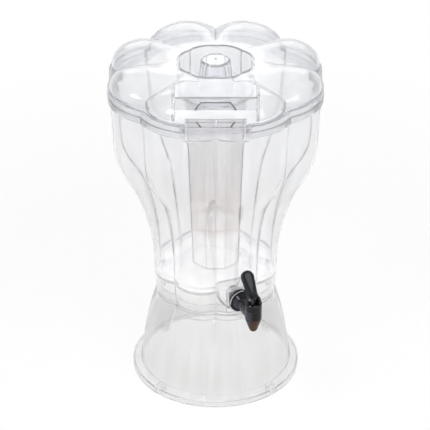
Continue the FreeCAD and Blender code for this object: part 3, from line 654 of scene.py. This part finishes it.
# %% Helper: put things in the scene
def put_in_scene(name, data):
    """An object with this data, linked into the scene."""
    thing = bpy.data.objects.new(name, data)
    bpy.context.scene.collection.objects.link(thing)
    return thing


def as_object(shape, name, material):
    """A bmesh turned into an object with one finish."""
    mesh = bpy.data.meshes.new(name)
    shape.to_mesh(mesh)
    shape.free()
    mesh.materials.append(material)
    return put_in_scene(name, mesh)


print("a bmesh becomes an object at the origin")


# %% Helper: finish a new piece
def finish_piece(shape, name, body, material, levels=0):
    """Turn a bmesh into a smooth piece that rides on a body."""
    bmesh.ops.recalc_face_normals(shape, faces=shape.faces)
    piece = as_object(shape, name, material)
    piece.data.shade_smooth()
    if levels:
        rounding = piece.modifiers.new("rounding", "SUBSURF")
        rounding.levels = rounding.render_levels = levels
    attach(piece, body)
    print(name, "rides on", body, "with", len(piece.data.polygons), "faces")
    return piece


def boundary(shape):
    """The open edges of a bmesh."""
    return [edge for edge in shape.edges if edge.is_boundary]



# %% [markdown]
# ## The closing spring
#
# When the lever is tipped, the stem rises 4 mm and presses the spring together against the bonnet. The
# spring of the construction is rigid, so the stem would run through its coils. A round section that is spun
# and lifted at each step makes the same coil, which takes the rigid spring's place.

# %% Helper: a spun wire
WIRE_SIDES = 8


def spun_section(radius, wire, start, angle, steps, rise=0.0):
    """A round section spun about the Z axis, lifted a little at each step, with closed ends."""
    shape = bmesh.new()
    bmesh.ops.create_circle(shape, radius=wire, segments=WIRE_SIDES)
    stand_up = Matrix.Rotation(math.radians(90.0), 4, "X")
    place = Matrix.Rotation(start, 4, "Z") @ Matrix.Translation((radius, 0.0, 0.0)) @ stand_up
    bmesh.ops.transform(shape, matrix=place, verts=shape.verts)
    ring = shape.verts[:] + shape.edges[:]
    bmesh.ops.spin(
        shape, geom=ring, axis=(0.0, 0.0, 1.0), cent=(0.0, 0.0, 0.0), dvec=(0.0, 0.0, rise / steps),
        angle=angle, steps=steps, use_merge=False
    )
    bmesh.ops.holes_fill(shape, edges=boundary(shape), sides=0)
    return shape


print("spun wires have", WIRE_SIDES, "sides")

# %% Wind the spring
SPRING_OUT = 0.133  # from the dispenser's centre line to the coil's axis
SPRING_R = 0.0046  # from the coil's axis to the middle of the wire
SPRING_WIRE = 0.0004  # radius of the wire
SPRING_TURNS = 5
TURN_STEPS = 24


def wind_spring():
    """A coil in the place of the construction's spring."""
    low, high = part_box("closing_spring")
    rise = high[2] - low[2] - 2.0 * SPRING_WIRE
    turn, steps = SPRING_TURNS * math.tau, SPRING_TURNS * TURN_STEPS
    shape = spun_section(SPRING_R, SPRING_WIRE, 0.0, turn, steps, rise)
    foot = FAUCET_OUT * SPRING_OUT + UP * (low[2] + SPRING_WIRE)
    bmesh.ops.translate(shape, verts=shape.verts, vec=foot)
    coil = finish_piece(shape, "spring_coil", "bowl", SPRING_STEEL)
    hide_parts("closing_spring")
    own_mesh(coil)


wind_spring()

# %% [markdown]
# ## The lever's dished face
#
# The thumb pushes a paddle whose face is dished like a spoon inside a rounded rim. A sculpted mesh or a
# boolean cut would do, but one circle is enough: its lower half is drawn out into the paddle's outline,
# insets make the rim and the dish, and a subdivision surface rounds it all. The face lies on the lever of
# the construction like a lining.

# %% The paddle's outline
LEVER_PIN = Vector((0.0508969, -0.1228759, 0.1838))
LEVER_ALONG = Vector((-0.2705981, 0.6532815, 0.7071068))  # from the pin to the tip, leaning back 45 degrees
PADDLE_R = 0.0089  # of the round end
PADDLE_SIDES = 48  # of the circle that the paddle starts from
PADDLE_CENTRE = 0.0306  # pin to the middle of the round end
PADDLE_FOOT = 0.0036  # pin to the foot of the paddle
FOOT_HALF = 0.0068  # half the foot's width
CORNER_POWER = 0.3  # 1 keeps the circle, 0 would make a square foot
TINY = 1e-6  # below this, two points are at one place


def paddle_outline():
    """A filled circle whose lower half is drawn out into the paddle's straight sides."""
    shape = bmesh.new()
    bmesh.ops.create_circle(shape, cap_ends=True, radius=PADDLE_R, segments=PADDLE_SIDES)
    for vert in shape.verts:
        if vert.co.y < -TINY:
            down = -vert.co.y / PADDLE_R
            half = PADDLE_R + (FOOT_HALF - PADDLE_R) * down
            side = abs(vert.co.x) / PADDLE_R
            vert.co.x = math.copysign(half * side**CORNER_POWER, vert.co.x)
            vert.co.y = -(PADDLE_CENTRE - PADDLE_FOOT) * down
    return shape


print("paddle", round((PADDLE_CENTRE + PADDLE_R - PADDLE_FOOT) * 1000, 1), "mm long")

# %% The dish and the wall
DISH_STEPS = ((0.0013, 0.0), (0.0012, 0.0007), (0.0014, 0.0006), (0.0014, 0.0003))  # inward, and down
FACE_THICK = 0.0032  # from the rim down to the closed back


def dish_and_wall(shape):
    """Inset the face into a dish, and pull its outline down into a closed wall."""
    dish = list(shape.faces)
    for width, depth in DISH_STEPS:
        bmesh.ops.inset_region(
            shape, faces=dish, thickness=width, use_boundary=True, use_even_offset=False
        )
        inner = {vert for face in dish for vert in face.verts}
        bmesh.ops.translate(shape, verts=list(inner), vec=(0.0, 0.0, -depth))
    bmesh.ops.poke(shape, faces=dish)
    walls = bmesh.ops.extrude_edge_only(shape, edges=boundary(shape))["geom"]
    low = [item for item in walls if isinstance(item, bmesh.types.BMVert)]
    bmesh.ops.translate(shape, verts=low, vec=(0.0, 0.0, -FACE_THICK))
    bmesh.ops.contextual_create(shape, geom=boundary(shape))


print("dish", round(sum(depth for _, depth in DISH_STEPS) * 1000, 1), "mm deep")

# %% Put the face on the lever
FACE_OUT = 0.0041  # pin's axis to the top of the rim
FACE_BLACK = (0.004, 0.005, 0.007)
FACE_ROUNDING = 2  # levels of the subdivision surface
LEVER_GLOSS = solid_finish("lever_gloss", FACE_BLACK, roughness=0.10, shine=0.30, edge_round=0.0003)


def lever_face():
    """The dished lining of the lever, in place."""
    shape = paddle_outline()
    dish_and_wall(shape)
    turn = Matrix((FAUCET_SIDE, LEVER_ALONG, FAUCET_SIDE.cross(LEVER_ALONG))).transposed()
    place = Matrix.Translation(LEVER_PIN + turn @ Vector((0.0, PADDLE_CENTRE, FACE_OUT)))
    bmesh.ops.transform(shape, matrix=place @ turn.to_4x4(), verts=shape.verts)
    finish_piece(shape, "lever_face", "lever", LEVER_GLOSS, FACE_ROUNDING)


lever_face()

# %% [markdown]
# ## The painted highlight on the flange's edge
#
# The faucet's flange presses its washer on the bowl. Over the upper left, its rounded front edge mirrors the
# light in a thin bright arc, and this is a painted highlight: a light grey wire. A whole ring would do, but
# only part of it is bright, so the spring's small section is spun again, this time round the faucet's axis,
# with no rise, and by the angle of the highlight.

# %% The painted highlight
DISC_R = 0.0165  # of the flange
DISC_FRONT = 0.0922  # from the dispenser's centre line
FAUCET_HEIGHT = 0.1555  # of the flange's middle over the table
HIGHLIGHT_WIRE = 0.0005  # radius of the wire
HIGHLIGHT_FROM = math.radians(80.0)  # anticlockwise from the faucet's right side
HIGHLIGHT_TURN = math.radians(105.0)
HIGHLIGHT_STEPS = 30
# painted highlight: a light grey wire where the flange's edge mirrors the light
HIGHLIGHT_GREY = (0.70, 0.70, 0.72)
HIGHLIGHT_FINISH = solid_finish("flange_highlight", HIGHLIGHT_GREY, roughness=0.30, shine=METAL_SHINE, edge_round=0.0002)


def flange_highlight():
    """A thin light grey wire, a painted highlight, spun over part of the flange's front edge."""
    shape = spun_section(DISC_R - HIGHLIGHT_WIRE, HIGHLIGHT_WIRE, HIGHLIGHT_FROM, HIGHLIGHT_TURN, HIGHLIGHT_STEPS)
    turn = Matrix((FAUCET_SIDE, UP, FAUCET_OUT)).transposed().to_4x4()
    place = Matrix.Translation(FAUCET_OUT * DISC_FRONT + UP * FAUCET_HEIGHT)
    bmesh.ops.transform(shape, matrix=place @ turn, verts=shape.verts)
    finish_piece(shape, "flange_highlight", "bowl", HIGHLIGHT_FINISH)


flange_highlight()

# %% [markdown]
# ## Fine edges at the front of the lid
#
# The thumb recess's outline carries a dark wire, which is painted shade: it stands for the dark line that
# refraction draws along that edge. The upright face under the ledge carries two short slanted marks and a
# tick. Each could be modelled into the wall, but they are only as thick as a line. So each is a thin wire:
# a curve with a round section, drawn in its place and turned into a mesh.

# %% Helper: a fine edge
WIRE_R = 0.0007
WIRE_ROUND = 2  # how finely the wire's section is divided


def fine_edge(name, points, face, radius, material):
    """A wire along points (x, z) on the upright plane y = face, on the lid."""
    curve = bpy.data.curves.new(name, "CURVE")
    curve.dimensions = "3D"
    curve.bevel_depth = radius
    curve.bevel_resolution = WIRE_ROUND
    curve.use_fill_caps = True
    line = curve.splines.new("POLY")
    line.points.add(len(points) - 1)
    for point, (x, z) in zip(line.points, points):
        point.co = (x, face, z, 1.0)
    drawn = bpy.data.objects.new(name + "_line", curve)
    mesh = bpy.data.meshes.new_from_object(drawn)
    bpy.data.objects.remove(drawn)
    shape = bmesh.new()
    shape.from_mesh(mesh)
    bmesh.ops.remove_doubles(shape, verts=shape.verts, dist=TINY)
    finish_piece(shape, name, "lid", material)


print("fine edges are", WIRE_R * 2000, "mm thick")

# %% The recess and the marks
# dark grey for the recess's painted shade line and for the slanted marks
EDGE_GREY = solid_finish("edge_grey", (0.050, 0.040, 0.048), roughness=0.35)
RECESS_FACE = -0.1052  # where the recess's upright wall stands, along Y
RECESS_LINE = (
    (-0.0262, 0.4600), (-0.0240, 0.4645), (-0.0190, 0.4712),
    (0.0190, 0.4712), (0.0240, 0.4645), (0.0262, 0.4600),
)
MARK_FACE = -0.1257  # the same for the wall under the ledge
MARK_TOP, MARK_FOOT = (0.0245, 0.4540), (0.0190, 0.4465)
# painted shade: a dark wire along the recess's outline
fine_edge("recess_shade_line", RECESS_LINE, RECESS_FACE, WIRE_R, EDGE_GREY)
for number, side in enumerate((-1.0, 1.0)):
    mark = [(side * x, z) for x, z in (MARK_TOP, MARK_FOOT)]
    fine_edge(f"mould_mark_{number}", mark, MARK_FACE, WIRE_R, EDGE_GREY)

# %% The tick in the middle
TICK_WHITE = solid_finish("tick_white", (0.90, 0.90, 0.90), roughness=0.30, shine=METAL_SHINE)
TICK = ((0.0008, 0.4560), (0.0008, 0.4475))
TICK_R = 0.0006
fine_edge("centre_tick", TICK, MARK_FACE, TICK_R, TICK_WHITE)

# %% [markdown]
# ## The floor
#
# The dispenser stands on a white table that runs on into a white background. A bright lamp on a grey floor
# would reach white too, but would burn out the plastic. Here the floor is a plain matt white sheet, and the
# camera, mirrors and clear plastic see most of it as light of its own. Near the dispenser a part of its own
# shading stays, which keeps the soft shadow. Farther off it is fully white, so it has no edge against the
# sky.

# %% The floor's finish
FLOOR_WHITE = (0.94, 0.94, 0.94)
FLOOR_ROUGHNESS = 0.9
GLOW_NEAR = 0.80  # share of plain white near the dispenser
GLOW_FROM, GLOW_FULL = 0.5, 1.0  # distances from the dispenser, in metres


def seen_directly(tree):
    """1 for the camera, for mirrors and through clear plastic, 0 for the light that falls on things."""
    path = tree.nodes.new("ShaderNodeLightPath")
    seen = arithmetic(tree, "MAXIMUM", path.outputs["Is Camera Ray"], path.outputs["Is Glossy Ray"])
    return arithmetic(tree, "MAXIMUM", seen, path.outputs["Is Transmission Ray"])


def floor_finish():
    """Matt white that glows plain white to the eye."""
    material, tree, output = new_finish("floor_white")
    body = add(tree, "ShaderNodeBsdfPrincipled", Roughness=FLOOR_ROUGHNESS)
    body.inputs["Base Color"].default_value = (*FLOOR_WHITE, 1.0)
    glow = add(tree, "ShaderNodeEmission", Strength=1.0)
    place = tree.nodes.new("ShaderNodeTexCoord")
    distance = vector_sum(tree, "LENGTH", place.outputs["Object"]).outputs["Value"]
    level = remap(tree, distance, GLOW_FROM, GLOW_FULL, GLOW_NEAR, 1.0)
    share = arithmetic(tree, "MULTIPLY", seen_directly(tree), level)
    shown = blended_shader(tree, share, body.outputs["BSDF"], glow.outputs["Emission"])
    tree.links.new(shown, output.inputs["Surface"])
    return material


print("the floor glows from", GLOW_FROM, "m on")

# %% Make the floor
FLOOR_HALF = 6.0  # half the sheet's side, in metres


def make_floor():
    """One flat sheet, which is stage and not part of the object."""
    sheet = bmesh.new()
    bmesh.ops.create_grid(sheet, x_segments=1, y_segments=1, size=FLOOR_HALF)
    floor = as_object(sheet, "floor", floor_finish())
    print("floor of", FLOOR_HALF * 2, "m")


make_floor()

# %% [markdown]
# ## The studio round it
#
# Clear plastic and black gloss show only what stands round them. An even white sky would leave the petals
# flat, so mirrors and plastic see a studio: nearly white at the horizon, a grey band above it, and lighter
# again overhead. The camera itself sees plain white, and the light that falls on matt things comes from a
# dimmer even sky.

# %% Helper: the studio's tones
SKY_TONES = [  # height of the view, and grey: straight down is 0, the horizon 0.5, straight up 1
    (0.0, 1.0), (0.50, 0.95), (0.60, 0.78), (0.75, 0.65), (0.95, 0.90),
]
SKY_BLUE = 1.02  # how much stronger blue is than red and green


def studio_tones(tree):
    """The studio's grey by height of the view."""
    place = tree.nodes.new("ShaderNodeTexCoord")
    up = remap(tree, axes(tree, place.outputs["Generated"])["Z"], -1.0, 1.0)
    stops = [(position, (grey, grey, grey * SKY_BLUE, 1.0)) for position, grey in SKY_TONES]
    return soft_ramp(tree, up, stops).outputs["Color"]


print("studio with", len(SKY_TONES), "tones")

# %% Make the sky
SKY_DIFFUSE = 0.5
SKY_WHITE = (1.0, 1.0, 1.0, 1.0)


def make_sky():
    """White to the camera, a studio to mirrors and plastic, and a dim even light on matt things."""
    world = bpy.data.worlds.new("studio")
    bpy.context.scene.world = world
    world.use_nodes = True
    tree = world.node_tree
    tree.nodes.clear()
    output = tree.nodes.new("ShaderNodeOutputWorld")
    studio = add(tree, "ShaderNodeBackground", Strength=1.0)
    tree.links.new(studio_tones(tree), studio.inputs["Color"])
    path = tree.nodes.new("ShaderNodeLightPath")
    shown = studio.outputs[0]
    for ray, strength in (("Is Diffuse Ray", SKY_DIFFUSE), ("Is Camera Ray", 1.0)):
        even = add(tree, "ShaderNodeBackground", Strength=strength, Color=SKY_WHITE)
        shown = blended_shader(tree, path.outputs[ray], shown, even.outputs[0])
    tree.links.new(shown, output.inputs["Surface"])
    print("sky lights matt things at", SKY_DIFFUSE)


make_sky()

# %% [markdown]
# ## Lamps
#
# Three soft boxes: the key from the upper left, a weaker and wider one from the right, which also puts a
# soft glint in the lever's dish, and one behind, wider than it is high, that shows up in every surface
# lying flat. Small lamps would give hard shadows through the plastic, so all of them are large.

# %% Make the lamps
def area_lamp(name, place, target, size, power):
    """A soft box that looks at a point."""
    data = bpy.data.lights.new(name, "AREA")
    data.shape = "RECTANGLE"
    data.size, data.size_y = size
    data.energy = power
    lamp = put_in_scene(name, data)
    lamp.location = place
    lamp.rotation_euler = (Vector(target) - Vector(place)).to_track_quat("-Z", "Y").to_euler()
    print(name, "gives", power, "W")


area_lamp("key_box", place=(-1.3, -0.9, 2.0), target=(0.0, 0.0, 0.25), size=(0.8, 0.8), power=20.0)
area_lamp("fill_box", place=(0.77, -1.12, 1.18), target=(0.045, -0.11, 0.205), size=(1.3, 1.3), power=13.0)
area_lamp("back_box", place=(0.0, 1.9, 1.30), target=(0.0, 0.0, 0.3), size=(1.8, 0.9), power=5.0)

# %% [markdown]
# ## Camera
#
# A product camera stands well back with a long lens, so the dispenser keeps its proportions, and it looks
# down about thirty degrees to show the lid. Its lens is given in picture widths: a long one crops tightly.

# %% Make the camera
CAMERA_PLACE = (0.0, -2.4613, 1.7040)
LOOK_DOWN = math.radians(30.716)
SENSOR = 36.0  # millimetres
LENS_WIDTHS = 2076.5 / 430.0  # focal length in widths of the picture
SHIFT = -0.0014  # sideways, in widths of the picture
SIGHT = 50.0  # how far the camera sees, in metres


def make_camera():
    """A long lens that looks down at the front."""
    data = bpy.data.cameras.new("camera")
    data.sensor_width = SENSOR
    data.lens = LENS_WIDTHS * SENSOR
    data.shift_x = SHIFT
    data.clip_end = SIGHT
    camera = put_in_scene("camera", data)
    camera.location = CAMERA_PLACE
    camera.rotation_euler = (math.radians(90.0) - LOOK_DOWN, 0.0, 0.0)
    bpy.context.scene.camera = camera
    print("lens of", round(data.lens), "mm")


make_camera()

# %% [markdown]
# ## Depth of the light
#
# A ray that crosses bowl, lid and core passes a dozen surfaces. With too few bounces they would turn black,
# so the limits are raised. The view stays plain.

# %% Finish
BOUNCES = 24
scene = bpy.context.scene
scene.view_settings.view_transform = "Standard"
scene.cycles.max_bounces = BOUNCES
scene.cycles.transmission_bounces = BOUNCES
scene.cycles.transparent_max_bounces = BOUNCES
